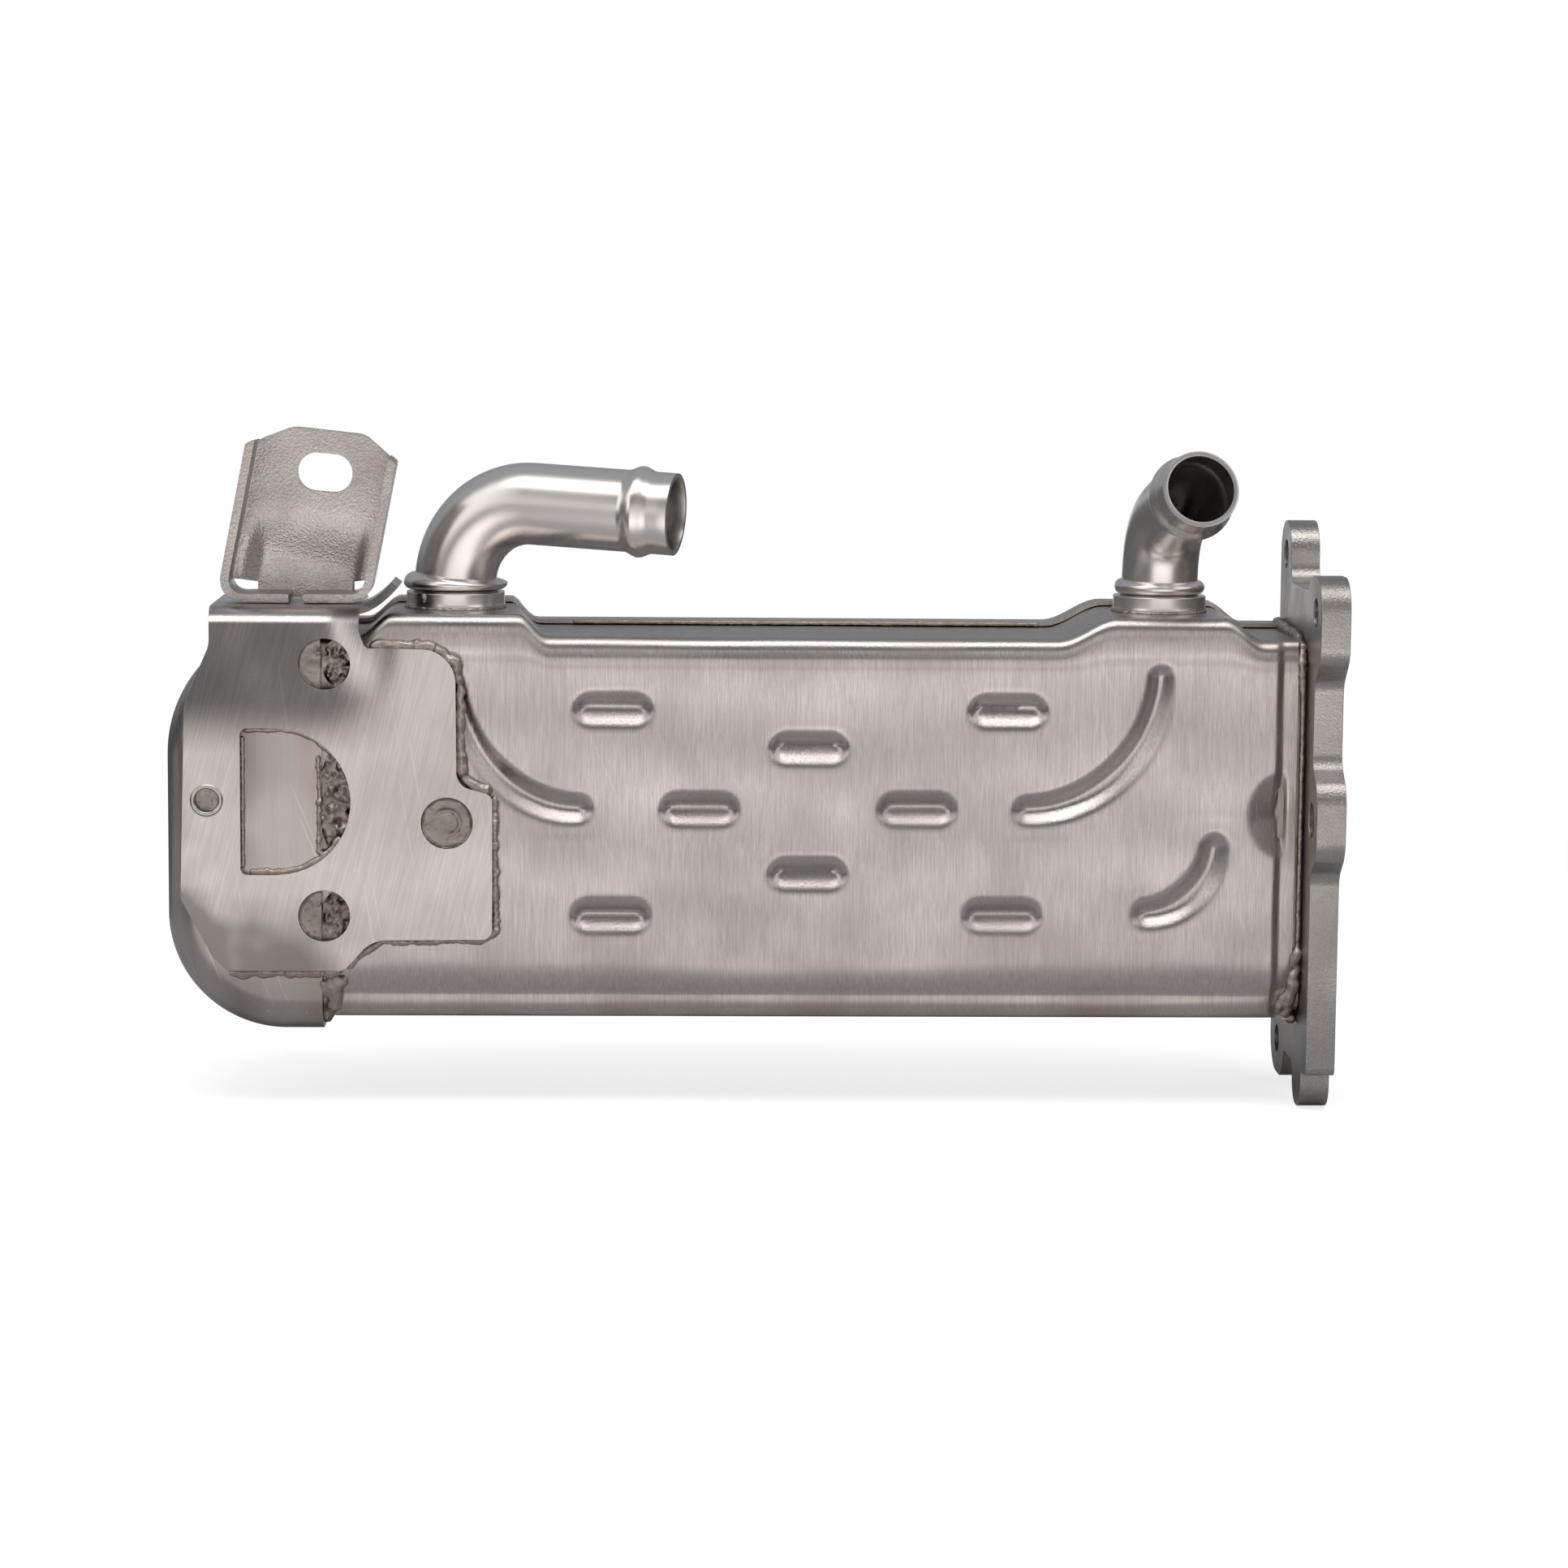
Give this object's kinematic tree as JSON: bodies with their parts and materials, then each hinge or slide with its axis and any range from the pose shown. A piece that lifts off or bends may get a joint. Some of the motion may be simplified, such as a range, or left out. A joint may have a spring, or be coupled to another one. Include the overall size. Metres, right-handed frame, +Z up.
{
  "type": "EGR cooler",
  "caption": "Flat two-pass stainless exhaust gas cooler with a dimpled jacket, return tank, gas flange, two coolant pipes and a support bracket.",
  "frame": {"origin": "centre of the gas flange's mating face, between its two gas ports", "axes": "+X out of the mating face towards the engine, -Y is the side with the support plate, +Z is up, where both coolant pipes stand"},
  "size_m": [0.2774, 0.0671, 0.1609],
  "materials": {
    "jacket_steel": "brushed, with brazed seams",
    "flange_steel": "blasted satin",
    "plate_steel": "brushed",
    "tab_steel": "blasted satin",
    "inner_steel": "plain sheet, hidden inside"
  },
  "bodies": {
    "root": {"shell_front": "jacket_steel", "shell_back": "jacket_steel", "return_tank": "jacket_steel", "gas_flange": "flange_steel", "inlet_collar": "jacket_steel", "outlet_collar": "jacket_steel", "coolant_inlet_pipe": "jacket_steel", "coolant_outlet_pipe": "jacket_steel", "support_plate": "plate_steel", "mounting_tab": "tab_steel", "flange_header": "inner_steel", "tank_header": "inner_steel", "pass_divider": "inner_steel", "gas_tube_upper_1": "inner_steel", "gas_tube_upper_2": "inner_steel", "gas_tube_upper_3": "inner_steel", "gas_tube_upper_4": "inner_steel", "gas_tube_upper_5": "inner_steel", "gas_tube_lower_1": "inner_steel", "gas_tube_lower_2": "inner_steel", "gas_tube_lower_3": "inner_steel", "gas_tube_lower_4": "inner_steel", "gas_tube_lower_5": "inner_steel", "fin_upper_1": "inner_steel", "fin_upper_2": "inner_steel", "fin_upper_3": "inner_steel", "fin_upper_4": "inner_steel", "fin_upper_5": "inner_steel", "fin_lower_1": "inner_steel", "fin_lower_2": "inner_steel", "fin_lower_3": "inner_steel", "fin_lower_4": "inner_steel", "fin_lower_5": "inner_steel"}
  },
  "joints": []
}
